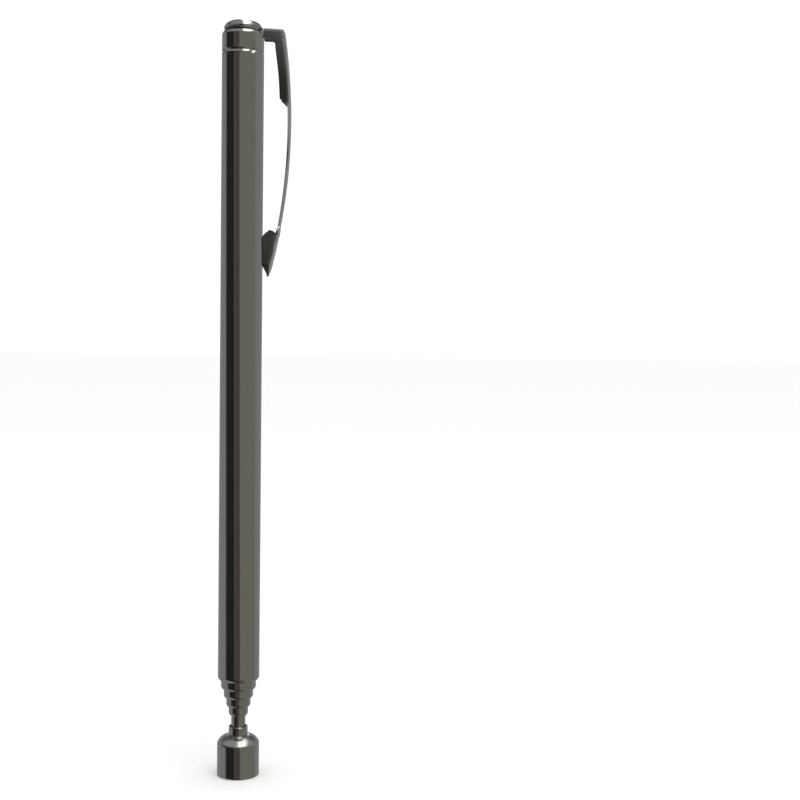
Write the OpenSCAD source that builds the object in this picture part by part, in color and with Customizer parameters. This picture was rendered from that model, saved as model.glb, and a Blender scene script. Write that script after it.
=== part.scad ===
// Telescopic magnetic pickup tool, closed, standing on its magnet.
// Frame: origin at the centre of the magnet's face, +Z along the tool, pocket clip towards +X.

/* [Barrel] */
// Outside diameter of the barrel
barrel_d = 7; // [6.8:0.05:7.4]
// Height of the barrel's rolled lower end above the magnet's face
barrel_low_z = 16.2; // [15.6:0.1:17]
// Height of the barrel's rolled upper rim
barrel_top_z = 125.15; // [125.05:0.05:127]
// Wall thickness of the barrel
barrel_wall = 0.25; // [0.22:0.01:0.28]
// Radius of the roll at both ends of the barrel
barrel_roll = 0.75; // [0.7:0.01:0.8]

/* [Telescoping sections] */
// Outside diameters of the four tubes, widest first
section_d = [5.9, 4.95, 4.1, 3.26];
// Diameter of the solid rod that carries the magnet head
rod_d = 2.4; // [2.2:0.05:2.4]
// Length of each section left showing when the tool is closed
section_show = 1.52; // [1.3:0.02:1.54]
// Wall thickness of the four tubes
section_wall = 0.22; // [0.2:0.01:0.23]
// Radius of the roll at the lower end of each tube
section_roll = 0.6; // [0.55:0.01:0.62]
// Radial running gap in every lip and round every friction spring
run_gap = 0.05; // [0.03:0.01:0.06]

/* [Stops and friction springs] */
// Height of the brass stop bush on the upper end of each section
bush_h = 1.2; // [1:0.1:1.5]
// Height of each split friction spring
spring_h = 4.4; // [3.5:0.1:5]
// Thickness of the friction spring's strip
spring_t = 0.1; // [0.08:0.01:0.11]
// Width of the slit in each friction spring
spring_slit_w = 0.8; // [0.4:0.1:1.2]

/* [Top plug, cap and crimps] */
// Height of the plug's lower face
plug_low_z = 120.5; // [119.5:0.1:120.7]
// Height of the crimp line
crimp_z = 121.6; // [121.5:0.1:122]
// Number of punched crimps round the barrel
crimp_count = 4; // [3:1:6]
// Angle of the first crimp from the clip
crimp_turn = 34; // [20:1:70]
// Diameter of the plug's neck, which carries the clip and the cap
neck_d = 4; // [3:0.1:4.4]
// Diameter of the cap's bead
cap_d = 6.4; // [6.2:0.1:6.4]
// Height of the top of the cap
cap_top_z = 127; // [127:0.1:128]

/* [Pocket clip] */
// Thickness of the clip's spring steel
clip_t = 0.35; // [0.3:0.01:0.4]
// Width of the clip's arm and upper channel
clip_w = 3.3; // [3:0.1:3.6]
// Width of the clip at its narrow neck
clip_neck_w = 1.8; // [1.6:0.1:2.4]
// Width of the clip's tip across its two ears
ear_w = 3.5; // [3.3:0.1:3.6]
// Farthest reach of the clip from the barrel's axis
clip_reach = 8.03; // [8:0.01:8.3]
// Height at which the clip reaches farthest out
clip_bulge_z = 110.4; // [110:0.2:111]
// Bending radius of the bowed blade
clip_bow_r = 98; // [95:1:110]
// Height of the clip's tip
clip_tip_z = 84.5; // [84:0.1:86]
// Height of the line where the blade flexes
flex_z = 123.9; // [123.6:0.1:124]

/* [Magnet head] */
// Diameter of the head
head_d = 7.1; // [6.8:0.1:7.4]
// Height of the head's straight side
head_side_h = 5.55; // [5.3:0.05:5.7]
// Diameter of the head's collar
collar_d = 3.2; // [3.1:0.05:3.3]
// Height of the top of the collar
collar_top_z = 8.35; // [8.2:0.05:8.5]
// Diameter of the magnet
magnet_d = 5; // [4.4:0.1:5.2]
// Thickness of the magnet
magnet_h = 3; // [2:0.1:3]

/* [Hidden] */
round_fn = 96;
cut = 1;                                                    // how far a cutting shape runs past a face
seat_gap = 0.05;                                            // gap at faces that only meet at the end of a stroke

// stage 0 is the barrel, stages 1 to 4 the tubes, stage 5 the rod
stage_d = concat([barrel_d], section_d, [rod_d]);
stage_wall = concat([barrel_wall], [for (d = section_d) section_wall]);
function outer_r(stage) = stage_d[stage] / 2;
function inner_r(stage) = outer_r(stage) - stage_wall[stage];
function low_z(stage) = barrel_low_z - stage * section_show;
sections_top_z = plug_low_z - seat_gap;
spring_top_z = sections_top_z - bush_h - seat_gap;
bead_z = spring_top_z - spring_h - seat_gap;                // top of the bead under each friction spring
bead_h = 0.24;
bead_out = 0.12;                                            // how far the bead stands out of its tube

crimp_r = 0.55;
crimp_depth = 0.2;
plug_groove = 0.32;                                         // depth of the plug's groove under the crimps
clip_seat_z = barrel_top_z;
cap_seat_z = clip_seat_z + clip_t;

collar_bore_r = collar_d / 2 - 0.2;
rod_seat_z = collar_top_z - 1;                              // the collar grips the rod below this height
rivet_z = 3.85;
rivet_h = 0.6;
rivet_r = 1.6;
sleeve_t = 0.45;
pocket_top_z = rivet_z + rivet_h;
shoulder_r = 2.1;
shoulder_x = 1.6;
edge_break = 0.2;                                           // chamfer round the head's lower edge

flange_depth = 1.7;                                         // depth of the blade's channel, web included
arm_depth = 1.35;                                           // depth of the arm's channel, web included
channel_low_z = 114.2;
channel_slope = 1.3;                                        // height of the channel's slanted lower end
corner_r = 0.8;
arm_top_z = cap_seat_z;
bow_x = clip_reach - clip_bow_r;
corner_z = arm_top_z - corner_r;
corner_x = bow_x + sqrt(pow(clip_bow_r - corner_r, 2) - pow(corner_z - clip_bulge_z, 2));
arm_start_x = barrel_d / 2 + 0.2;
ring_r = cap_d / 2 - 0.1;
neck_z = 93;
ear_top_z = 92.3;
ear_low_z = 86.6;
ear_lobe_r = 0.95;

// ---- shapes that repeat ----

// Half section of a round bar whose lower end is rolled in to a nose
module nosed_outline(r, z_low, z_top, roll) {
    translate([0, z_low + roll]) square([r, z_top - z_low - roll]);
    translate([0, z_low]) square([r - roll, z_top - z_low]);
    intersection() {
        translate([r - roll, z_low + roll]) circle(roll, $fn = round_fn);
        translate([r - roll, z_low]) square([roll, roll]);
    }
}

// Half section of a tube with a rolled lower lip that bears on the next section
module tube_outline(stage, roll, z_top) {
    difference() {
        nosed_outline(outer_r(stage), low_z(stage), z_top, roll);
        nosed_outline(inner_r(stage), low_z(stage) + stage_wall[stage], z_top + cut, roll - stage_wall[stage]);
        translate([0, low_z(stage) - cut]) square([outer_r(stage + 1) + run_gap, z_top - low_z(stage) + 2 * cut]);
    }
}

// Ring-shaped bead that holds a friction spring from below
module bead(stage) {
    r = outer_r(stage);
    translate([0, 0, bead_z - bead_h])
        difference() {
            cylinder(r = r + bead_out, h = bead_h, $fn = round_fn);
            translate([0, 0, -cut]) cylinder(r = r - 0.1, h = bead_h + 2 * cut, $fn = round_fn);
        }
}

module section_tube(stage) {
    color([0.47, 0.46, 0.44]) {
        rotate_extrude($fn = round_fn) tube_outline(stage, section_roll, sections_top_z);
        bead(stage);
    }
}

// Brass ring pressed on a section's upper end
module stop_bush(stage) {
    color([0.78, 0.62, 0.32])
        translate([0, 0, sections_top_z - bush_h])
            difference() {
                cylinder(r = inner_r(stage - 1) - run_gap, h = bush_h, $fn = round_fn);
                translate([0, 0, -cut]) cylinder(r = outer_r(stage), h = bush_h + 2 * cut, $fn = round_fn);
            }
}

// Split bronze sleeve, bowed outwards so that its middle rubs on the tube outside it
module friction_spring(stage) {
    in_r = outer_r(stage) + 0.03;
    bow = inner_r(stage - 1) - 0.03 - in_r - spring_t;
    half = spring_h / 2;
    bow_r = (half * half + bow * bow) / (2 * bow);
    color([0.8, 0.52, 0.3])
        translate([0, 0, spring_top_z - half])
            difference() {
                rotate_extrude($fn = round_fn)
                    intersection() {
                        translate([in_r, -half]) square([bow + spring_t, spring_h]);
                        difference() {
                            translate([in_r + bow - bow_r, 0]) circle(bow_r + spring_t, $fn = 720);
                            translate([in_r + bow - bow_r, 0]) circle(bow_r, $fn = 720);
                        }
                    }
                translate([0, -spring_slit_w / 2, -half - cut])
                    cube([barrel_d, spring_slit_w, spring_h + 2 * cut]);
            }
}

// ---- barrel, plug and cap ----

module barrel_outline() {
    difference() {
        tube_outline(0, barrel_roll, barrel_top_z);
        translate([barrel_d / 2 - barrel_roll, barrel_top_z - barrel_roll])
            difference() {
                square(barrel_roll + cut);
                circle(barrel_roll, $fn = round_fn);
            }
    }
    difference() {                                          // the rolled upper rim
        translate([barrel_d / 2 - barrel_roll, barrel_top_z - barrel_roll])
            intersection() {
                circle(barrel_roll, $fn = round_fn);
                square(barrel_roll);
            }
        translate([barrel_d / 2 - barrel_roll, barrel_top_z - barrel_roll])
            circle(barrel_roll - barrel_wall, $fn = round_fn);
    }
}

module at_crimps() {
    for (i = [0 : crimp_count - 1])
        rotate([0, 0, crimp_turn + i * 360 / crimp_count])
            translate([barrel_d / 2 + crimp_r - crimp_depth, 0, crimp_z])
                children();
}

module barrel() {
    color([0.45, 0.44, 0.42])
        difference() {
            union() {
                rotate_extrude($fn = round_fn) barrel_outline();
                intersection() {
                    at_crimps() sphere(crimp_r + barrel_wall, $fn = 32);
                    translate([0, 0, crimp_z - cut]) cylinder(r = barrel_d / 2, h = 2 * cut, $fn = round_fn);
                }
            }
            at_crimps() sphere(crimp_r, $fn = 32);
            rotate_extrude($fn = round_fn)                  // shallow rolled line that joins the crimps
                translate([barrel_d / 2 + 0.42, crimp_z]) circle(0.5, $fn = 48);
        }
}

module end_plug() {
    r = barrel_d / 2 - barrel_wall;
    rim_r = barrel_d / 2 - barrel_roll;
    color([0.78, 0.62, 0.32])
        rotate_extrude($fn = round_fn)
            difference() {
                union() {
                    translate([0, plug_low_z]) square([r, barrel_top_z - barrel_roll - plug_low_z]);
                    translate([0, plug_low_z]) square([rim_r, barrel_top_z - barrel_wall - plug_low_z]);
                    intersection() {
                        translate([rim_r, barrel_top_z - barrel_roll])
                            circle(barrel_roll - barrel_wall, $fn = round_fn);
                        translate([rim_r, plug_low_z]) square([barrel_roll, barrel_top_z - plug_low_z]);
                    }
                    translate([0, plug_low_z]) square([neck_d / 2, cap_top_z - 1 - plug_low_z]);
                }
                translate([r - plug_groove, crimp_z - 0.7]) square([plug_groove + cut, 1.4]);
            }
}

module end_cap() {
    bead_r = 0.2;
    dome_r = 3.05;
    crown_r = 1.4;
    color([0.5, 0.5, 0.48])
        rotate_extrude($fn = round_fn)
            difference() {
                union() {
                    translate([0, cap_seat_z]) square([cap_d / 2 - bead_r, 2 * bead_r]);
                    translate([cap_d / 2 - bead_r, cap_seat_z + bead_r]) circle(bead_r, $fn = 48);
                    translate([0, cap_seat_z]) square([dome_r - crown_r, cap_top_z - cap_seat_z]);
                    translate([0, cap_seat_z]) square([dome_r, cap_top_z - crown_r - cap_seat_z]);
                    intersection() {
                        translate([dome_r - crown_r, cap_top_z - crown_r]) circle(crown_r, $fn = round_fn);
                        translate([dome_r - crown_r, cap_top_z - crown_r]) square(crown_r);
                    }
                }
                translate([0, cap_seat_z - cut]) square([neck_d / 2, cap_top_z - 1 - cap_seat_z + cut]);
            }
}

// ---- pocket clip ----

// Distance of the clip's outer face from the axis at height z, on the bowed blade
function clip_side_x(z) = bow_x + sqrt(pow(clip_bow_r, 2) - pow(z - clip_bulge_z, 2));

// Side view of everything inside the clip's outer line, moved in by inset
module clip_side(inset, z_low) {
    intersection() {
        translate([bow_x, clip_bulge_z]) circle(clip_bow_r - inset, $fn = 720);
        translate([0, z_low]) square([clip_reach, corner_z - z_low]);
    }
    translate([corner_x, corner_z]) circle(corner_r - inset, $fn = round_fn);
    translate([0, corner_z - cut]) square([corner_x, arm_top_z - inset - corner_z + cut]);
}

module clip_plate(width, centre_y) {
    translate([0, centre_y + width / 2, 0]) rotate([90, 0, 0]) linear_extrude(width) children();
}

module clip_sides(width) {
    for (side = [-1, 1]) clip_plate(clip_t, side * (width - clip_t) / 2) children();
}

module clip_ring() {
    color([0.25, 0.25, 0.24]) {
        difference() {
            translate([0, 0, clip_seat_z]) cylinder(r = ring_r, h = clip_t, $fn = round_fn);
            translate([0, 0, clip_seat_z - cut]) cylinder(d = neck_d + 0.1, h = clip_t + 2 * cut, $fn = round_fn);
        }
        clip_plate(clip_w, 0)
            intersection() {
                difference() {
                    clip_side(0, flex_z);
                    clip_side(clip_t, flex_z - cut);
                }
                translate([ring_r - 0.4, flex_z]) square([clip_reach, arm_top_z - flex_z]);
            }
        clip_sides(clip_w)
            intersection() {
                difference() {
                    clip_side(0, flex_z);
                    translate([0, flex_z - cut])
                        square([clip_side_x(flex_z) - flange_depth, arm_top_z - arm_depth - flex_z + cut]);
                }
                translate([arm_start_x, flex_z]) square([clip_reach, arm_top_z - flex_z]);
            }
    }
}

// The blade's outline as seen from outside: channel width, taper to the neck, ears, point
module blade_front() {
    half = clip_w / 2;
    ear = ear_w / 2;
    polygon([
        [-half, flex_z], [-half, channel_low_z - channel_slope], [-clip_neck_w / 2, neck_z],
        [-ear, ear_top_z - ear_lobe_r], [-ear, ear_low_z], [-0.3, clip_tip_z],
        [0.3, clip_tip_z], [ear, ear_low_z], [ear, ear_top_z - ear_lobe_r],
        [clip_neck_w / 2, neck_z], [half, channel_low_z - channel_slope], [half, flex_z]
    ]);
}

module clip_blade() {
    top = flex_z - seat_gap;
    color([0.22, 0.22, 0.21]) {
        intersection() {
            clip_plate(ear_w + 2 * cut, 0)
                difference() {
                    clip_side(0, clip_tip_z);
                    clip_side(clip_t, clip_tip_z - cut);
                    translate([0, top]) square([2 * clip_reach, 10]);
                }
            rotate([90, 0, 90]) linear_extrude(2 * clip_reach) blade_front();
        }
        clip_sides(clip_w)
            intersection() {
                difference() {
                    clip_side(0, channel_low_z - channel_slope);
                    translate([0, channel_low_z - channel_slope - cut])
                        intersection() {
                            translate([bow_x, clip_bulge_z - channel_low_z + channel_slope + cut])
                                circle(clip_bow_r - flange_depth, $fn = 720);
                            square([2 * clip_reach, 20]);
                        }
                }
                polygon([
                    [clip_reach - flange_depth - 2, channel_low_z], [clip_reach - flange_depth, channel_low_z],
                    [clip_reach - clip_t, channel_low_z - channel_slope], [clip_reach + 1, channel_low_z - channel_slope],
                    [clip_reach + 1, top], [clip_reach - flange_depth - 2, top]
                ]);
            }
        clip_sides(ear_w)
            intersection() {
                clip_side(0, clip_tip_z);
                ear_outline();
            }
    }
}

// Side view of an ear: a round-topped lobe that narrows to the tip
module ear_outline() {
    barrel_side = 3.42;
    polygon([
        [barrel_side, ear_top_z - ear_lobe_r], [barrel_side + 0.35, ear_low_z], [4, clip_tip_z + 0.25],
        [4.2, clip_tip_z + 0.25], [4.75, ear_low_z - 0.6], [clip_reach, ear_top_z - ear_lobe_r]
    ]);
    translate([barrel_side + 1.35, ear_top_z - ear_lobe_r - 0.4]) circle(1.35, $fn = round_fn);
}

// ---- rod and magnet head ----

module tip_rod() {
    color([0.47, 0.46, 0.44]) {
        translate([0, 0, rivet_z + rivet_h / 2])
            cylinder(r = rod_d / 2, h = sections_top_z - rivet_z - rivet_h / 2, $fn = round_fn);
        translate([0, 0, rivet_z]) cylinder(r = rivet_r, h = rivet_h, $fn = round_fn);
        bead(5);
    }
}

module magnet_cup() {
    shoulder_z = head_side_h - sqrt(pow(shoulder_r, 2) - pow(head_d / 2 - shoulder_x, 2));
    color([0.42, 0.42, 0.4])
        rotate_extrude($fn = round_fn)
            difference() {
                union() {
                    square([head_d / 2, head_side_h]);
                    square([shoulder_x, shoulder_z + shoulder_r]);
                    intersection() {
                        translate([shoulder_x, shoulder_z]) circle(shoulder_r, $fn = round_fn);
                        translate([shoulder_x, 0]) square([head_d / 2 - shoulder_x, 2 * head_side_h]);
                    }
                    square([collar_d / 2, collar_top_z]);
                }
                translate([0, -cut]) square([magnet_d / 2 + sleeve_t, magnet_h + cut]);
                translate([0, -cut]) square([rivet_r + 0.1, pocket_top_z + cut]);
                translate([0, -cut]) square([rod_d / 2, collar_top_z + 2 * cut]);
                translate([0, rod_seat_z]) square([collar_bore_r, collar_top_z]);
                translate([head_d / 2 - edge_break, 0]) rotate(-45) translate([0, -cut]) square([cut, 2 * cut]);
            }
}

module magnet_sleeve() {
    color([0.78, 0.62, 0.32])
        difference() {
            cylinder(r = magnet_d / 2 + sleeve_t, h = magnet_h, $fn = round_fn);
            translate([0, 0, -cut]) cylinder(d = magnet_d, h = magnet_h + 2 * cut, $fn = round_fn);
        }
}

module magnet() {
    color([0.62, 0.62, 0.64]) cylinder(d = magnet_d, h = magnet_h, $fn = round_fn);
}

barrel();
end_plug();
end_cap();
clip_ring();
clip_blade();
for (stage = [1 : 4]) {
    section_tube(stage);
}
tip_rod();
for (stage = [1 : 5]) {
    stop_bush(stage);
    friction_spring(stage);
}
magnet_cup();
magnet_sleeve();
magnet();
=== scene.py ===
"""Looks of the telescopic magnetic pickup tool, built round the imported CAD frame.
Shapes are given in millimetres, and MM turns them into Blender's metres. The floor and the light are in metres."""
import math

import bmesh
import bpy
import numpy as np
from mathutils import Matrix, Vector


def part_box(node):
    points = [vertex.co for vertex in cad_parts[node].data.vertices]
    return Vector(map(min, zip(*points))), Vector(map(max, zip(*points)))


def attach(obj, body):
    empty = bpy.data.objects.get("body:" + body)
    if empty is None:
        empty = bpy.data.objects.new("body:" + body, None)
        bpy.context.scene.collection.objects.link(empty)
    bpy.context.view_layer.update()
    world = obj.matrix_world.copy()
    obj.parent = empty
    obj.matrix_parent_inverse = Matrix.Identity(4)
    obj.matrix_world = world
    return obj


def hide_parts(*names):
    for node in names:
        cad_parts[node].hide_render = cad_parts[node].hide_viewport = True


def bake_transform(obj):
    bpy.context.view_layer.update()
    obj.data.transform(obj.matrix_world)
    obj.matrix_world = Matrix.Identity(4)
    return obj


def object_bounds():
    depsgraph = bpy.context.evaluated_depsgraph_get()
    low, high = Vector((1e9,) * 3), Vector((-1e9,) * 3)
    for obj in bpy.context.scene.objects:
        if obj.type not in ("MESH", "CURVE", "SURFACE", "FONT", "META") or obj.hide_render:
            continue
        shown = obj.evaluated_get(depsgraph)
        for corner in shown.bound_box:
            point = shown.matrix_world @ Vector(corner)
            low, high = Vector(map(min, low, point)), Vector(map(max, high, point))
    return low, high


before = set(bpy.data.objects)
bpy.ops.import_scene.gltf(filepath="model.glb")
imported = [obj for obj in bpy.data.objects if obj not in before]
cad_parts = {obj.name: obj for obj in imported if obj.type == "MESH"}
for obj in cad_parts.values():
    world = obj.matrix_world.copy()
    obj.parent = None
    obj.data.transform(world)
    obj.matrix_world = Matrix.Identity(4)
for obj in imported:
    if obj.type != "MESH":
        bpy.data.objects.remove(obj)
CAD_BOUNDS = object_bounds()
MM = 0.001
TAU = 2 * math.pi

# ---------------------------------------------------------------- places read from the frame, in millimetres


def box_mm(node):
    low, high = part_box(node)
    return [c / MM for c in low], [c / MM for c in high]


BARREL_LOW, BARREL_HIGH = box_mm("barrel")
CAP_LOW, CAP_HIGH = box_mm("end_cap")
RING_HIGH = box_mm("clip_ring")[1]
BLADE_LOW, BLADE_HIGH = box_mm("clip_blade")
CUP_HIGH = box_mm("magnet_cup")[1]
ROD_LOW, ROD_HIGH = box_mm("tip_rod")
MAGNET_HIGH = box_mm("magnet")[1]
SLEEVE_HIGH = box_mm("magnet_sleeve")[1]
BARREL_R = BARREL_HIGH[0]


# ---------------------------------------------------------------- mesh tools (profiles in millimetres)


def arc(cx, cz, r, start, end, count):
    """Points of a circle's arc in the (radius, height) plane, angles in degrees."""
    angles = np.radians(np.linspace(start, end, count))
    return [(cx + r * math.cos(a), cz + r * math.sin(a)) for a in angles]


def run(a, b, count):
    """Points from a to b, without b."""
    return [(a[0] + (b[0] - a[0]) * i / count, a[1] + (b[1] - a[1]) * i / count) for i in range(count)]


def new_mesh(name, verts_mm, faces, sharp=35):
    mesh = bpy.data.meshes.new(name)
    mesh.from_pydata([tuple(c * MM for c in v) for v in verts_mm], [], faces)
    mesh.validate()
    mesh.update()
    mesh.polygons.foreach_set("use_smooth", [True] * len(mesh.polygons))
    mesh.set_sharp_from_angle(angle=math.radians(sharp))
    obj = bpy.data.objects.new(name, mesh)
    bpy.context.scene.collection.objects.link(obj)
    return obj


def lathe(name, profile, segments=192, shape=None, sharp=35):
    """Turns a profile of (radius, height) points about Z. A closed profile has no point on the axis.
    An open one starts and ends on it. shape(radius, angle, height) may move a point in or out."""
    profile = [p for i, p in enumerate(profile) if i == 0 or math.dist(p, profile[i - 1]) > 1e-4]
    on_axis = profile[0][0] < 1e-9
    body = profile[1:-1] if on_axis else profile
    verts = []
    for r, z in body:
        for k in range(segments):
            a = TAU * k / segments
            rr = shape(r, a, z) if shape else r
            verts.append((rr * math.cos(a), rr * math.sin(a), z))
    faces = []
    rows = len(body)
    for i in range(rows if not on_axis else rows - 1):
        j = (i + 1) % rows
        for k in range(segments):
            n = (k + 1) % segments
            faces.append((i * segments + k, i * segments + n, j * segments + n, j * segments + k))
    if on_axis:
        first, last = len(verts), len(verts) + 1
        verts += [(0, 0, profile[0][1]), (0, 0, profile[-1][1])]
        for k in range(segments):
            n = (k + 1) % segments
            faces.append((first, n, k))
            faces.append((last, (rows - 1) * segments + k, (rows - 1) * segments + n))
    obj = new_mesh(name, verts, faces, sharp)
    face_outwards(obj)
    return obj


def face_outwards(obj):
    bm = bmesh.new()
    bm.from_mesh(obj.data)
    bmesh.ops.recalc_face_normals(bm, faces=bm.faces)
    bm.to_mesh(obj.data)
    bm.free()


def bake_modifiers(obj):
    depsgraph = bpy.context.evaluated_depsgraph_get()
    mesh = bpy.data.meshes.new_from_object(obj.evaluated_get(depsgraph))
    obj.modifiers.clear()
    obj.data = mesh


def smoothstep(x):
    x = min(1.0, max(0.0, x))
    return x * x * (3 - 2 * x)


# ---------------------------------------------------------------- node helpers


class Nodes:
    """Builds one shader tree; every call returns the output socket of the node it adds."""

    def __init__(self, tree):
        self.tree = tree
        tree.nodes.clear()

    def add(self, kind, inputs=None, out=0, **settings):
        node = self.tree.nodes.new(kind)
        for key, value in settings.items():
            setattr(node, key, value)
        for key, value in (inputs or {}).items():
            socket = node.inputs[key]
            if isinstance(value, bpy.types.NodeSocket):
                self.tree.links.new(value, socket)
            else:
                socket.default_value = value
        return node.outputs[out] if isinstance(out, (int, str)) else node

    def math(self, operation, a, b=0.0, c=0.0):
        return self.add("ShaderNodeMath", {0: a, 1: b, 2: c}, operation=operation)

    def remap(self, value, low, high, to_low, to_high):
        return self.add("ShaderNodeMapRange", {0: value, 1: low, 2: high, 3: to_low, 4: to_high})

    def mix(self, factor, a, b):
        return self.add("ShaderNodeMix", {0: factor, 6: a, 7: b}, out=2, data_type="RGBA")

    def noise(self, vector, scale, detail=3.0, roughness=0.5):
        return self.add("ShaderNodeTexNoise", {"Vector": vector, "Scale": scale, "Detail": detail,
                                               "Roughness": roughness}, out="Fac")

    def ramp(self, factor, stops):
        node = self.tree.nodes.new("ShaderNodeValToRGB")
        elements = node.color_ramp.elements
        while len(elements) > 1:
            elements.remove(elements[-1])
        elements[0].position, elements[0].color = stops[0][0], (*stops[0][1], 1)
        for position, colour in stops[1:]:
            elements.new(position).color = (*colour, 1)
        self.tree.links.new(factor, node.inputs[0])
        return node.outputs[0]


# Painted highlight and painted shade on the clip: greys by height in mm that stand in for its reflections.
CLIP_PAINTED_LIGHT = [(84, 0.14), (92.4, 0.16), (93.2, 0.85), (112.0, 0.85),
             (113.4, 0.07), (117, 0.07), (121, 0.13), (126, 0.19)]


def plated_metal(name, colour, rough, smudge=0.06, lines=0.35, waves=0.25, tarnish=0.12, spots=0.0, painted_light=None,
                 satin=None):
    """Polished plating: fine lines along Z from drawing and wiping, smudges, faint tarnish, slow waviness.
    The height list of (height in mm, grey) pairs paints highlight and shade by height in place of reflections.
    Faces turned out along X are painted a flat mid grey as a painted highlight.
    satin is (lower height, upper height, added roughness): a turned band that is less polished."""
    material = bpy.data.materials.new(name)
    material.use_nodes = True
    n = Nodes(material.node_tree)
    place = n.add("ShaderNodeTexCoord", out="Object")
    along = n.add("ShaderNodeMapping", {"Vector": place, "Scale": (9000, 9000, 160)})
    slow = n.add("ShaderNodeMapping", {"Vector": place, "Scale": (260, 260, 38)})
    hairs = n.noise(along, 1.0, 2.0)
    swell = n.noise(slow, 1.0, 1.0)
    smears = n.noise(place, 420.0, 4.0, 0.6)
    specks = n.noise(place, 3800.0, 2.0)
    dirt = n.remap(n.noise(place, 900.0, 5.0, 0.7), 0.52, 0.78, 0.0, tarnish)
    base = n.mix(dirt, (*colour, 1), (*[c * f for c, f in zip(colour, (0.55, 0.5, 0.42))], 1))
    base = n.mix(n.remap(hairs, 0.35, 0.65, 0.0, 0.10), base, (*[min(1, c * 1.25) for c in colour], 1))
    height = n.add("ShaderNodeSeparateXYZ", {0: place}, out=2)
    # Painted light: the colour is set by height to painted highlight and shade, and faces turned out along X are
    # painted a mid grey highlight.
    if painted_light:
        low, high = painted_light[0][0], painted_light[-1][0]
        grey = [((z - low) / (high - low), (g, g, g * 0.98)) for z, g in painted_light]
        painted_by_height = n.ramp(n.remap(height, low * MM, high * MM, 0.0, 1.0), grey)
        facing = n.add("ShaderNodeSeparateXYZ", {0: n.add("ShaderNodeTexCoord", out="Normal")}, out=0)
        base = n.mix(n.remap(facing, 0.35, 0.8, 0.0, 1.0), n.mix(0.9, base, painted_by_height), (0.5, 0.5, 0.49, 1))
    roughness = n.remap(smears, 0.42, 0.7, rough, rough + smudge)
    roughness = n.math("ADD", roughness, n.remap(specks, 0.62, 0.8, 0, spots))
    if satin:
        low, high, more = satin
        band = n.math("MULTIPLY", n.remap(height, low * MM, (low + 0.1) * MM, 0.0, more),
                      n.remap(height, high * MM, (high - 0.1) * MM, 0.0, 1.0))
        roughness = n.math("ADD", roughness, band)
    bump = n.add("ShaderNodeBump", {"Height": hairs, "Strength": lines, "Distance": 0.0000006})
    bump = n.add("ShaderNodeBump", {"Height": swell, "Strength": waves, "Distance": 0.00001, "Normal": bump})
    if spots:
        bump = n.add("ShaderNodeBump", {"Height": specks, "Strength": 0.3, "Distance": 0.00002,
                                        "Normal": bump})
    shader = n.add("ShaderNodeBsdfPrincipled", {"Base Color": base, "Metallic": 1.0, "Roughness": roughness,
                                                "Normal": bump})
    n.add("ShaderNodeOutputMaterial", {"Surface": shader}, out=None)
    return material


SHOULDER_SATIN = (5.5, 7.0, 0.17)
MATERIALS = {
    "barrel": plated_metal("barrel_plate", (0.40, 0.395, 0.385), 0.045),
    "tube": plated_metal("tube_plate", (0.40, 0.39, 0.375), 0.07, lines=0.5),
    "cap": plated_metal("cap_plate", (0.44, 0.435, 0.42), 0.05, waves=0.0),
    # The clip's colour carries painted highlight and painted shade by height.
    "clip": plated_metal("clip_steel", (0.10, 0.10, 0.098), 0.3, lines=0.1, waves=0.0, painted_light=CLIP_PAINTED_LIGHT),
    "head": plated_metal("head_steel", (0.40, 0.40, 0.39), 0.05, waves=0.1, satin=SHOULDER_SATIN),
    "brass": plated_metal("turned_brass", (0.80, 0.60, 0.28), 0.22, smudge=0.1, waves=0.0, tarnish=0.3),
    "bronze": plated_metal("spring_bronze", (0.72, 0.43, 0.22), 0.28, smudge=0.1, waves=0.0, tarnish=0.35),
    "magnet": plated_metal("magnet_nickel", (0.60, 0.60, 0.60), 0.2, smudge=0.15, waves=0.0, spots=0.1),
}


def finish_piece(obj, look, body, *nodes):
    """Gives a piece its material, the body it rides on and the CAD nodes it stands for."""
    obj.data.materials.clear()
    obj.data.materials.append(MATERIALS[look])
    if body:
        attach(obj, body)
    if nodes:
        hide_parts(*nodes)
    return obj


# ---------------------------------------------------------------- barrel

BARREL_ROLL = 0.75
BARREL_WALL = 0.25
CRIMP_Z = 121.6
CRIMP_TURN = 34
CRIMP_COUNT = 4
CRIMP_R = 0.5
CRIMP_DEPTH = 0.24


def crimp_depth_at(angle, z):
    """How deep the rolled line and the punched crimps press the barrel's skin in."""
    line = 0.07 * math.exp(-(((z - CRIMP_Z) / 0.16) ** 2))
    shoulder = -0.012 * math.exp(-(((abs(z - CRIMP_Z) - 0.42) / 0.16) ** 2))
    dent = 0.0
    for i in range(CRIMP_COUNT):
        off = (angle - math.radians(CRIMP_TURN) - i * TAU / CRIMP_COUNT + math.pi) % TAU - math.pi
        away = math.hypot(off * BARREL_R, z - CRIMP_Z)
        dent = max(dent, CRIMP_DEPTH * (1 - smoothstep((away - 0.12) / 0.5)))
    return max(line, dent) + (shoulder if dent < 0.01 else 0)


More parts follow.
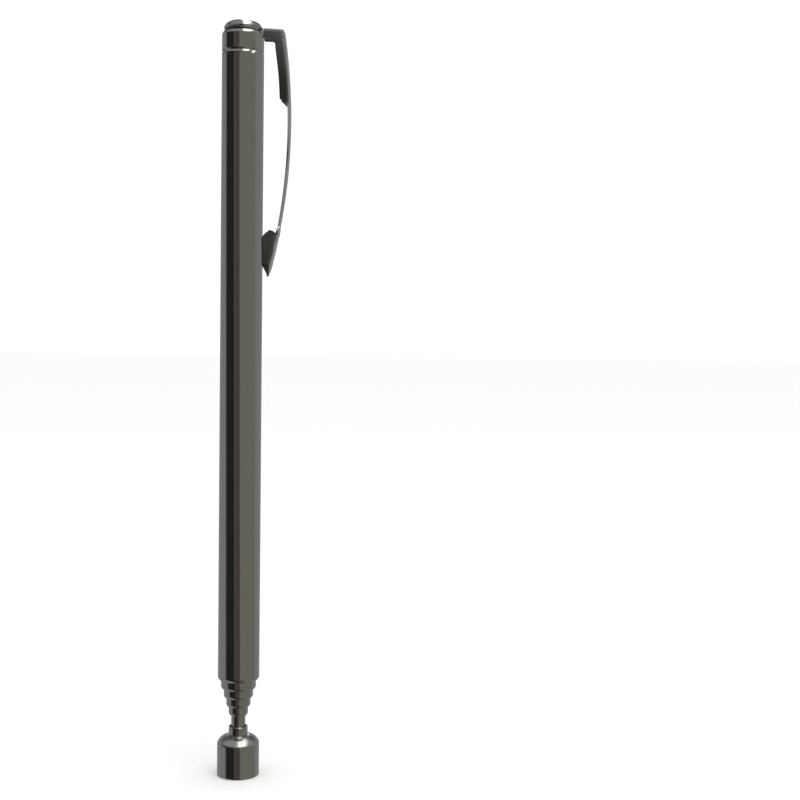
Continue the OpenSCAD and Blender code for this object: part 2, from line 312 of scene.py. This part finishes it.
def barrel_profile():
    low, high, lip = BARREL_LOW[2], BARREL_HIGH[2], 3.0
    cx = BARREL_R - BARREL_ROLL
    lip_turn = math.degrees(math.acos((lip + 0.03 - cx) / BARREL_ROLL))
    base = low + BARREL_ROLL
    outer = arc(cx, base - 0.043, BARREL_ROLL, -lip_turn, 0, 16)
    outer += run((BARREL_R, base), (BARREL_R, CRIMP_Z - 1.1), 24)
    outer += run((BARREL_R, CRIMP_Z - 1.1), (BARREL_R, CRIMP_Z + 1.1), 56)
    outer += run((BARREL_R, CRIMP_Z + 1.1), (BARREL_R, high - BARREL_ROLL), 8)
    outer += arc(cx, high - BARREL_ROLL, BARREL_ROLL, 0, 88, 16)
    inner_r = BARREL_ROLL - BARREL_WALL
    inner = [(cx, high - 0.06), (cx, high - BARREL_WALL + 0.03)]
    inner += arc(cx, high - BARREL_ROLL, inner_r, 88, 0, 8)
    inner += run((BARREL_R - BARREL_WALL, high - BARREL_ROLL), (BARREL_R - BARREL_WALL, base), 8)
    inner += arc(cx, base, inner_r, 0, -math.degrees(math.acos((lip + 0.02 - cx) / inner_r)), 8)
    inner += [(lip, low + 0.30), (lip, low + 0.08)]
    return outer + inner


def make_barrel():
    wall_r = BARREL_R - 1e-6

    def shape(r, angle, z):
        near = abs(z - CRIMP_Z) < 1.2
        return r - crimp_depth_at(angle, z) if near and r > wall_r else r

    obj = lathe("barrel_tube", barrel_profile(), 384, shape, sharp=50)
    return finish_piece(obj, "barrel", "barrel", "barrel")


# ---------------------------------------------------------------- cap


def make_cap():
    base, top = CAP_LOW[2], CAP_HIGH[2]
    bead, dome, bore = 0.2, 3.0, 2.0
    outer = [(2.0, base + 0.02), (2.4, base)]
    outer += run((2.4, base), (CAP_HIGH[0] - bead, base), 3)
    outer += arc(CAP_HIGH[0] - bead, base + bead, bead, -90, 70, 18)
    foot = base + 0.42
    turns = np.radians(np.linspace(0, 86, 40))
    outer += [(dome * math.cos(t), foot + (top - foot) * math.sin(t)) for t in turns]
    profile = [(0, top - 1)] + run((bore, top - 1), (bore, base + 0.1), 3) + outer + [(0, top)]
    obj = lathe("end_cap_dome", profile, 160, sharp=40)
    return finish_piece(obj, "cap", "barrel", "end_cap")


# ---------------------------------------------------------------- telescoping sections

SECTION_WALL = 0.22
SECTION_ROLL = 0.6
RUN_GAP = 0.05
# outside radii of the four tubes, then of the rod
TUBE_RADII = [2.95, 2.475, 2.05, 1.63, 1.2]
BEAD_BELOW_TOP = 5.8
BEAD_RISE = 0.12


def friction_bead(r, z):
    """A low round bead on the outside of a section, centred on height z."""
    steps = np.linspace(0, 1, 7)
    return [(r + BEAD_RISE * math.sin(math.pi * t), z + BEAD_RISE * (2 * t - 1)) for t in steps]


def make_section(number):
    r = TUBE_RADII[number - 1]
    lip = TUBE_RADII[number] + RUN_GAP
    node = f"section_{number}"
    low, high = (corner[2] for corner in box_mm(node))
    bead_z = high - BEAD_BELOW_TOP
    cx = r - SECTION_ROLL
    low_arc = math.degrees(math.acos((lip + 0.03 - cx) / SECTION_ROLL))
    base = low + SECTION_ROLL
    sink = SECTION_ROLL * (1 - math.sin(math.radians(low_arc)))
    outer = arc(cx, base - sink, SECTION_ROLL, -low_arc, 0, 12)
    outer += run((r, base), (r, bead_z - 0.2), 40)
    outer += friction_bead(r, bead_z)
    outer += run((r, bead_z + 0.2), (r, high - 0.04), 6) + [(r - 0.04, high)]
    wall = r - SECTION_WALL
    inner_r = SECTION_ROLL - SECTION_WALL
    inner = [(wall + 0.04, high), (wall, high - 0.04)]
    inner += run((wall, high - 0.1), (wall, base), 24)
    inner += arc(cx, base, inner_r, 0, -math.degrees(math.acos((lip + 0.02 - cx) / inner_r)), 8)
    inner += [(lip, low + 0.26), (lip, low + 0.07)]
    obj = lathe(f"section_{number}_tube", outer + inner, 160, sharp=50)
    return finish_piece(obj, "tube", f"tube_{number}", node)


def make_rod():
    low, high = ROD_LOW[2], ROD_HIGH[2]
    r = TUBE_RADII[4]
    rivet = ROD_HIGH[0]
    bead_z = high - BEAD_BELOW_TOP
    profile = [(0, low), (rivet - 0.12, low), (rivet, low + 0.12)]
    profile += [(rivet, low + 0.5), (rivet - 0.1, low + 0.6)]
    profile += run((r, low + 0.62), (r, bead_z - 0.2), 48)
    profile += friction_bead(r, bead_z)
    profile += run((r, bead_z + 0.2), (r, high - 0.1), 6) + [(r, high - 0.08), (r - 0.08, high), (0, high)]
    obj = lathe("tip_rod_turned", profile, 128, sharp=40)
    return finish_piece(obj, "tube", "tip", "tip_rod")


# ---------------------------------------------------------------- magnet head


def make_cup():
    r, top = CUP_HIGH[0], CUP_HIGH[2]
    side, collar, seat = 5.55, 1.6, 1.2
    shoulder, cx = 2.1, 1.6
    cz = side - math.sqrt(shoulder ** 2 - (r - cx) ** 2)
    start = math.degrees(math.asin((side - cz) / shoulder))
    recess = SLEEVE_HIGH[0]
    profile = [(recess, 0.12), (recess + 0.05, 0.0)] + [(r - 0.2, 0.0)]
    profile += arc(r - 0.2, 0.2, 0.2, -80, 0, 7)
    profile += run((r, 0.3), (r, side - 0.12), 10)
    profile += arc(r - 0.3, side - 0.12, 0.3, 0, start * 0.9, 7)
    profile += arc(cx, cz, shoulder, start + 2.5, 89, 30)
    profile += run((collar, cz + shoulder), (collar, top - 0.08), 6)
    profile += [(collar, top - 0.06), (collar - 0.03, top - 0.015), (collar - 0.07, top)]
    profile += [(collar - 0.13, top), (collar - 0.18, top - 0.03), (collar - 0.2, top - 0.1)]
    profile += [(collar - 0.2, top - 0.9), (collar - 0.24, top - 1.0), (seat, top - 1.0)]
    profile += [(seat, 4.5), (1.7, 4.45), (1.7, 3.02), (recess, 3.0)]
    obj = lathe("magnet_cup_turned", profile, 192, sharp=28)
    return finish_piece(obj, "head", "tip", "magnet_cup")


def make_magnet():
    r, h = MAGNET_HIGH[0], MAGNET_HIGH[2]
    profile = [(0, 0.0)] + [(r * t, 0.0) for t in (0.3, 0.6, 0.85)] + [(r - 0.12, 0.0)]
    profile += arc(r - 0.14, 0.14, 0.13, -80, 0, 5) + [(r - 0.01, h - 0.12), (r - 0.12, h), (0, h)]
    obj = lathe("magnet_disc", profile, 128)
    return finish_piece(obj, "magnet", "tip", "magnet")


def make_sleeve():
    r, h, bore = SLEEVE_HIGH[0], SLEEVE_HIGH[2], MAGNET_HIGH[0]
    profile = [(bore + 0.06, 0.1), (bore + 0.12, 0.05), (r - 0.1, 0.05), (r - 0.02, 0.12),
               (r - 0.02, h - 0.05), (r - 0.08, h), (bore + 0.06, h), (bore, h - 0.05), (bore, 0.2)]
    obj = lathe("magnet_sleeve_ring", profile, 128)
    return finish_piece(obj, "brass", "tip", "magnet_sleeve")


# ---------------------------------------------------------------- pocket clip

CLIP_T = 0.35
CLIP_BOW_R = 98.0
CLIP_BULGE_Z = 110.4
CLIP_BEND = 0.42
CLIP_CORNER_R = 0.3
ARM_DROP = 0.2
CHANNEL_LOW, CHANNEL_FULL = 112.6, 113.95
NECK_Z = 92.9
EAR_START = 91.35
CORNER_FILLET = 0.5
CHANNEL_HALF_W, NECK_HALF_W, EAR_HALF_W = 1.65, 0.88, 1.75
SIDE_DEPTH = 1.68
LIP_DEPTH = 0.32
ARM_START_X, ARM_TILT_X = 3.36, 2.9


def corner_x():
    """Where the corner's bend is centred, out from the axis."""
    rise = RING_HIGH[2] - CLIP_CORNER_R - ARM_DROP - CLIP_BULGE_Z
    return BLADE_HIGH[0] - CLIP_BOW_R + math.sqrt((CLIP_BOW_R - CLIP_CORNER_R) ** 2 - rise ** 2)


def clip_path():
    """Points along the middle of the clip's outer face, from the ring out along the arm and down to the tip.
    Each is (x, z, direction angle). The arm dips a little, then the corner turns down into the bowed blade."""
    reach, top, tip = BLADE_HIGH[0], RING_HIGH[2], BLADE_LOW[2]
    bow_x = reach - CLIP_BOW_R
    cz = top - CLIP_CORNER_R - ARM_DROP
    cx = corner_x()
    bow_start = math.asin((cz - CLIP_BULGE_Z) / (CLIP_BOW_R - CLIP_CORNER_R))
    points = []
    arm_tilt = math.atan2(-ARM_DROP, cx - ARM_TILT_X)
    for x in np.linspace(2.75, cx, 34)[:-1]:
        dip = max(0.0, x - ARM_TILT_X) * math.tan(arm_tilt)
        points.append((x, top - 0.004 + dip, arm_tilt))
    for a in np.linspace(math.pi / 2 + arm_tilt, bow_start, 12):
        points.append((cx + CLIP_CORNER_R * math.cos(a), cz + CLIP_CORNER_R * math.sin(a), a - math.pi / 2))
    end = math.asin((tip - CLIP_BULGE_Z) / CLIP_BOW_R)
    stations = [bow_start]
    for low, count in ((CHANNEL_FULL + 0.2, 50), (CHANNEL_LOW - 0.9, 40), (NECK_Z + 0.2, 70), (90.4, 70)):
        stations += list(np.linspace(stations[-1], math.asin((low - CLIP_BULGE_Z) / CLIP_BOW_R), count)[1:])
    stations = stations[1:] + list(np.linspace(stations[-1], end, 60)[1:])
    for a in stations:
        x, z = bow_x + CLIP_BOW_R * math.cos(a), CLIP_BULGE_Z + CLIP_BOW_R * math.sin(a)
        points.append((x, z, a - math.pi / 2))
    return points


def clip_section(x, z, on_arm):
    """Half width of the web, depth of the folded side and how far the fold is made (0 flat, 1 square)."""
    if on_arm:
        grow = smoothstep((x - ARM_START_X) / 0.12)
        return CHANNEL_HALF_W, (z - RING_HIGH[2] + SIDE_DEPTH) * grow, grow
    if z > CHANNEL_LOW:
        depth = 1.35 + 0.4 * smoothstep((125.0 - z) / 2.5) - 0.12 * smoothstep((122.0 - z) / 5)
        part = min(1.0, (z - CHANNEL_LOW) / (CHANNEL_FULL - CHANNEL_LOW))
        return CHANNEL_HALF_W, LIP_DEPTH + (depth - LIP_DEPTH) * part, 1.0
    if z > NECK_Z:
        t = (CHANNEL_LOW - z) / (CHANNEL_LOW - NECK_Z)
        lip = LIP_DEPTH * smoothstep((z - 100.0) / 11)
        half = CHANNEL_HALF_W + (NECK_HALF_W - CHANNEL_HALF_W) * t
        return half, lip, math.sin(min(1.0, lip / CLIP_BEND) * math.pi / 2)
    spread = smoothstep((NECK_Z - z) / 0.9)
    half = NECK_HALF_W + (EAR_HALF_W - NECK_HALF_W) * spread
    if z > EAR_START:
        return half, 0.0, spread
    full = 2.7 - 0.252 * (EAR_START - 0.35 - z)
    lobe = math.sqrt(max(0.3, 1 - max(0.0, z - EAR_START + 1.05) ** 2))
    point = smoothstep((z - BLADE_LOW[2] + 0.1) / 1.9)
    depth = full * lobe * smoothstep((EAR_START + 0.05 - z) / 0.12)
    return 0.35 + (half - 0.35) * point ** 0.8, max(0.3 * point, depth * min(1, 0.25 + 0.75 * point)), 1.0


def ear_rise(z, depth):
    """How far the ear's edge stands above the line square to the web. The lobe's top is round."""
    if z > EAR_START:
        return 0.0
    lobe = math.sin(math.pi * min(depth, 2.6) / 2.35)
    return 0.65 * lobe * smoothstep((z - EAR_START + 2.25) / 1.8)


def corner_fillet():
    """Where the fillet in the folded side's inner corner is centred."""
    return (corner_x() + CLIP_CORNER_R - 1.75 - CORNER_FILLET,
            RING_HIGH[2] - SIDE_DEPTH - CORNER_FILLET)


def in_corner(x, z, heading, depth):
    """Whether the folded side of this row would cross the rows round the inner corner."""
    fillet_x, fillet_z = corner_fillet()
    return (depth > 1.0 and z > 120 and x + math.sin(heading) * depth > fillet_x
            and z - math.cos(heading) * depth > fillet_z)


def clip_sections():
    """Each place along the path with its section. Rows that fan round the inner corner have their end angle."""
    rows = []
    for x, z, heading in clip_path():
        half, depth, fold = clip_section(x, z, on_arm=heading > -math.radians(30))
        rows.append((x, z, heading, half, depth, fold))
    bent = [i for i, (x, z, heading, half, depth, fold) in enumerate(rows) if in_corner(x, z, heading, depth)]
    for i, row in enumerate(rows):
        inside = bent[0] <= i <= bent[-1]
        yield (*row, math.pi / 2 * (1 - (i - bent[0] + 1) / (len(bent) + 1)) if inside else None)


def side_point(x, z, inward, into, depth, around):
    """A point of the folded side. Rows at the corner end on one small fillet, so that they don't cross."""
    if around is None or into < 0.4:
        return x + inward[0] * into, z + inward[1] * into
    fillet_x, fillet_z = corner_fillet()
    end_x, end_z = fillet_x + CORNER_FILLET * math.cos(around), fillet_z + CORNER_FILLET * math.sin(around)
    part = min(1.0, into / depth)
    return x + (end_x - x) * part, z + (end_z - z) * part


def clip_rows():
    """Outer and inner face of the folded sheet: a row of points across it for every place along the path."""
    columns = 11
    outer, inner = [], []
    for x, z, heading, half, depth, fold, around in clip_sections():
        quarter = CLIP_BEND * math.pi / 2
        flat = half - CLIP_BEND * fold if depth > 0 else half
        bend = min(1.0, depth / CLIP_BEND)
        length = flat + quarter * bend + max(0.0, depth - CLIP_BEND)
        inward = (math.sin(heading), -math.cos(heading))
        row = ([], [])
        for k in range(-columns, columns + 1):
            s = abs(k) / columns * length
            side = -1 if k < 0 else 1
            turn = min(1.0, max(0.0, (s - flat) / quarter)) * math.pi / 2
            y = min(s, flat) + CLIP_BEND * math.sin(turn)
            d = CLIP_BEND * (1 - math.cos(turn)) + max(0.0, s - flat - quarter)
            for points, t in zip(row, (0.0, CLIP_T)):
                across, into = y - t * math.sin(turn), d + t * math.cos(turn)
                px, pz = side_point(x, z, inward, into, depth, around)
                points.append((px, side * across, pz + ear_rise(z, into)))
        outer.append(row[0])
        inner.append(row[1])
    return outer, inner


def make_clip():
    outer, inner = clip_rows()
    rows, width = len(outer), len(outer[0])
    verts = [v for row in outer + inner for v in row]
    back = rows * width
    faces = []
    for i in range(rows - 1):
        for k in range(width - 1):
            a = i * width + k
            faces.append((a, a + 1, a + width + 1, a + width))
            faces.append((back + a, back + a + width, back + a + width + 1, back + a + 1))
        for edge in (i * width, i * width + width - 1):
            faces.append((edge, edge + width, back + edge + width, back + edge))
    for k in range(width - 1):
        for end in (k, (rows - 1) * width + k):
            faces.append((end, end + 1, back + end + 1, back + end))
    obj = new_mesh("pocket_clip", verts, faces)
    face_outwards(obj)
    edge = obj.modifiers.new("edges", "BEVEL")
    edge.width = 0.05 * MM
    edge.segments = 3
    edge.limit_method = "ANGLE"
    edge.angle_limit = math.radians(50)
    bake_modifiers(obj)
    ring_r, hole = CAP_HIGH[0] - 0.1, 2.05
    low, high = RING_HIGH[2] - CLIP_T, RING_HIGH[2]
    e = 0.1
    profile = [(hole, low + 0.04), (hole + 0.04, low)] + [(ring_r - e, low)]
    profile += arc(ring_r - e, low + e, e, -80, 0, 5) + arc(ring_r - e, high - e, e, 0, 80, 5)
    profile += [(ring_r - e, high), (hole + 0.04, high), (hole, high - 0.04)]
    ring = lathe("clip_ring_plate", profile, 128, sharp=40)
    bpy.ops.object.select_all(action="DESELECT")
    for o in (ring, obj):
        o.select_set(True)
    bpy.context.view_layer.objects.active = obj
    bpy.ops.object.join()
    obj.data.polygons.foreach_set("use_smooth", [True] * len(obj.data.polygons))
    obj.data.set_sharp_from_angle(angle=math.radians(40))
    finish_piece(obj, "clip", None, "clip_ring", "clip_blade")
    obj.visible_glossy = False
    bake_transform(obj)
    return obj


# ---------------------------------------------------------------- camera, floor, light

VIEW_AZIMUTH = 8.0
CAMERA_DISTANCE = 228 * MM
CAMERA_HEIGHT = 74 * MM
CAMERA_PITCH = 2.5
CAMERA_TURN = 6.76
CAMERA_ROLL = 0.71
FIELD_OF_VIEW = 33.1


def make_camera():
    data = bpy.data.cameras.new("camera")
    data.sensor_width = 36
    data.lens = 18 / math.tan(math.radians(FIELD_OF_VIEW / 2))
    data.clip_start = 0.01
    data.clip_end = 20
    camera = bpy.data.objects.new("camera", data)
    bpy.context.scene.collection.objects.link(camera)
    a = math.radians(VIEW_AZIMUTH)
    place = Vector((math.sin(a) * CAMERA_DISTANCE, -math.cos(a) * CAMERA_DISTANCE, CAMERA_HEIGHT))
    look = Matrix.Rotation(a - math.radians(CAMERA_TURN), 4, "Z") @ Matrix.Rotation(
        math.radians(90 - CAMERA_PITCH), 4, "X") @ Matrix.Rotation(math.radians(CAMERA_ROLL), 4, "Z")
    camera.matrix_world = Matrix.Translation(place) @ look
    bpy.context.scene.camera = camera


def make_floor():
    size = 6.0
    mesh = bpy.data.meshes.new("floor")
    corners = [(-size, -size, 0), (size, -size, 0), (size, size, 0), (-size, size, 0)]
    mesh.from_pydata(corners, [], [(0, 1, 2, 3)])
    floor = bpy.data.objects.new("floor", mesh)
    bpy.context.scene.collection.objects.link(floor)
    floor.location.z = min(0.0, CAD_BOUNDS[0][2]) - 0.00002
    material = bpy.data.materials.new("floor_paper")
    material.use_nodes = True
    n = Nodes(material.node_tree)
    shader = n.add("ShaderNodeBsdfPrincipled", {"Base Color": (0.93, 0.93, 0.925, 1), "Roughness": 0.9,
                                                "Specular IOR Level": 0.1})
    n.add("ShaderNodeOutputMaterial", {"Surface": shader}, out=None)
    mesh.materials.append(material)
    floor.visible_glossy = False


# What the polished tool mirrors: a grey room with a few broad soft-edged cards stood round it. Each card is
# (start, end, scene-linear colour), in degrees from the camera's side, clockwise seen from above.
WALL = (0.15, 0.15, 0.155)
BLACK_CARD = (-90, -35, (0.013, 0.013, 0.013))
WARM_CARD = (-35, -5, (0.05, 0.04, 0.04))
PALE_CARD = (-5, 85, (0.12, 0.12, 0.10))
CARD_EDGE = 5
# degrees that the cards lean for each unit of a direction's height
CARD_LEAN = 60
CEILING_FRONT = (0.19, 0.19, 0.195)
CEILING_BACK = (0.055, 0.055, 0.053)
PANEL = (0.92, 1.0, 0.94)
PANEL_CORE = (1.9, 1.95, 1.9)
MIRROR_STRENGTH = 2.5


def make_world():
    """White paper all round for the camera and for soft light. Polished metal mirrors a room with cards."""
    world = bpy.data.worlds.new("studio")
    bpy.context.scene.world = world
    world.use_nodes = True
    n = Nodes(world.node_tree)
    direction = n.add("ShaderNodeTexCoord", out="Generated")
    turned = n.add("ShaderNodeVectorRotate", {"Vector": direction, "Angle": -math.radians(VIEW_AZIMUTH)},
                   rotation_type="Z_AXIS")
    parts = n.add("ShaderNodeSeparateXYZ", {0: turned}, out=None)
    x, y, z = parts.outputs
    around = n.math("ARCTAN2", x, n.math("MULTIPLY", y, -1.0))
    # the cards lean to one side with height
    turn = n.math("ADD", n.math("MULTIPLY", around, 180 / math.pi), n.math("MULTIPLY", z, CARD_LEAN))
    room = (*WALL, 1)
    for start, end, colour in (BLACK_CARD, WARM_CARD, PALE_CARD):
        card = n.math("MULTIPLY", n.remap(turn, start - CARD_EDGE, start + CARD_EDGE, 0.0, 1.0),
                      n.remap(turn, end + CARD_EDGE, end - CARD_EDGE, 0.0, 1.0))
        room = n.mix(card, room, (*colour, 1))
    # grey ceiling, and on it one soft white panel, which slants off forwards at its right edge
    ceiling = n.remap(z, 0.33, 0.46, 0.0, 1.0)
    ceiling_colour = n.mix(n.remap(y, 0.15, 0.5, 0.0, 1.0), (*CEILING_FRONT, 1), (*CEILING_BACK, 1))
    room = n.mix(ceiling, room, ceiling_colour)
    slant = n.math("ADD", n.math("MULTIPLY", x, -0.734), n.math("MULTIPLY", y, -0.427))
    slant = n.math("ADD", slant, n.math("MULTIPLY", z, 0.531))
    wide = n.remap(slant, 0.0, 0.12, 0.0, 1.0)
    strip = n.remap(x, 0.10, 0.05, 0.0, 1.0)
    panel = n.math("MULTIPLY", n.math("MAXIMUM", wide, strip), n.remap(x, -0.05, 0.0, 0.0, 1.0))
    panel = n.math("MULTIPLY", panel, n.remap(z, 0.36, 0.46, 0.0, 1.0))
    behind = n.math("MULTIPLY", n.remap(y, 0.6, 0.8, 0.0, 1.0), n.remap(z, 0.24, 0.3, 0.0, 1.0))
    behind = n.math("MULTIPLY", behind, n.math("MULTIPLY", strip, n.remap(x, -0.03, 0.0, 0.0, 1.0)))
    room = n.mix(n.math("MAXIMUM", panel, behind), room, (*PANEL, 1))
    core = n.math("MULTIPLY", n.remap(z, 0.5, 0.6, 0.0, 1.0), n.remap(z, 0.85, 0.75, 0.0, 1.0))
    core_wide = n.math("MULTIPLY", n.remap(x, 0.05, 0.12, 0.0, 1.0), n.remap(x, 0.42, 0.35, 0.0, 1.0))
    core = n.math("MULTIPLY", core, core_wide)
    room = n.mix(n.math("MULTIPLY", core, n.remap(y, 0.0, -0.2, 0.0, 1.0)), room, (*PANEL_CORE, 1))
    mirrored = n.add("ShaderNodeBackground", {"Color": room, "Strength": MIRROR_STRENGTH})
    white = n.add("ShaderNodeBackground", {"Color": (1, 1, 1, 1), "Strength": 1.06})
    is_gloss = n.add("ShaderNodeLightPath", out="Is Glossy Ray")
    both = n.add("ShaderNodeMixShader", {0: is_gloss, 1: white, 2: mirrored})
    n.add("ShaderNodeOutputWorld", {"Surface": both}, out=None)


def make_lights():
    data = bpy.data.lights.new("softbox", "AREA")
    data.shape = "RECTANGLE"
    data.size, data.size_y = 0.5, 0.5
    data.energy = 1.2
    light = bpy.data.objects.new("softbox", data)
    light.location = (0.35, -0.45, 0.75)
    light.rotation_euler = (Vector((0, 0, 0.06)) - light.location).to_track_quat("-Z", "Y").to_euler()
    light.visible_glossy = False
    bpy.context.scene.collection.objects.link(light)


# ---------------------------------------------------------------- build

make_camera()
make_barrel()
make_cap()
make_clip()
for number in range(1, 5):
    make_section(number)
make_rod()
make_cup()
make_magnet()
make_sleeve()
for name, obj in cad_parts.items():
    if name.startswith("stop_bush") or name == "end_plug":
        obj.data.materials.clear()
        obj.data.materials.append(MATERIALS["brass"])
    elif name.startswith("friction_spring"):
        obj.data.materials.clear()
        obj.data.materials.append(MATERIALS["bronze"])
make_floor()
make_world()
make_lights()
bpy.context.scene.view_settings.view_transform = "Standard"
